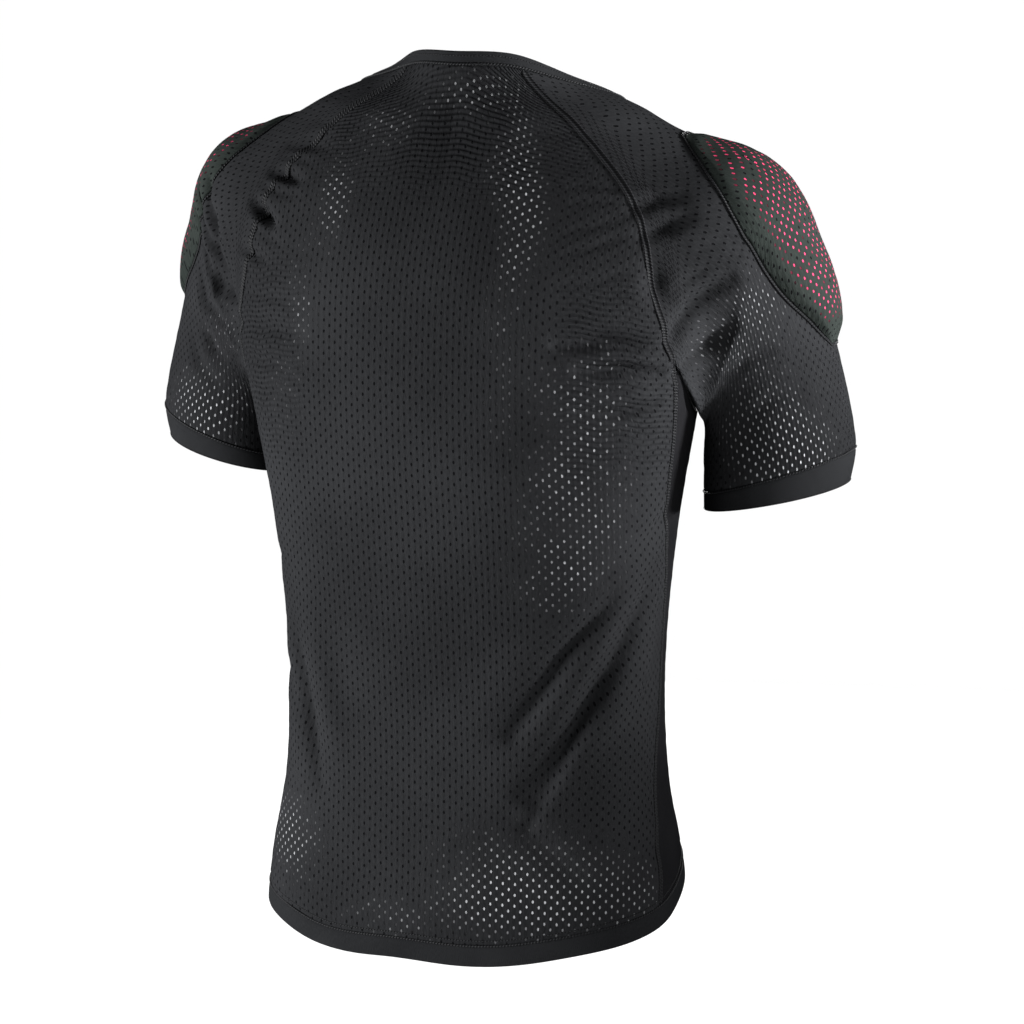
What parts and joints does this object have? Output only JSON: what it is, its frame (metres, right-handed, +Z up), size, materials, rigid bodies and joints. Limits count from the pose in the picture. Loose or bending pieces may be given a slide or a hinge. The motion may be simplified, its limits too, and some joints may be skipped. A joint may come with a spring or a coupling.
{
  "type": "padded compression shirt",
  "caption": "Short-sleeved base-layer shirt of mesh cloth, worn shape and hollow, with raglan sleeves, smooth side panels, a round neckband and a padded pocket on each shoulder.",
  "frame": {"origin": "middle of the neck opening at the height of the shoulder seams, where the wearer's shoulders hold the shirt", "axes": "+Z up along the body, the front faces -Y and the back +Y, the wearer's right side is at -X"},
  "size_m": [0.5336, 0.2176, 0.6514],
  "materials": {
    "mesh_cloth": "black knitted mesh with small holes, slight sheen",
    "smooth_cloth": "black smooth stretch knit without holes",
    "band_cloth": "black knit, folded and stitched",
    "pocket_cloth": "dark green-grey mesh with round holes",
    "pad_foam": "soft closed-cell foam, pink-red, matt"
  },
  "bodies": {
    "root": {"back_panel": "mesh_cloth", "front_panel": "mesh_cloth", "side_panel_left": "smooth_cloth", "side_panel_right": "smooth_cloth", "sleeve_left": "mesh_cloth", "sleeve_right": "mesh_cloth", "cuff_left": "band_cloth", "cuff_right": "band_cloth", "pad_pocket_left": "pocket_cloth", "pad_pocket_right": "pocket_cloth", "shoulder_pad_left": "pad_foam", "shoulder_pad_right": "pad_foam", "neckband": "band_cloth", "hem_band": "band_cloth"}
  },
  "joints": []
}
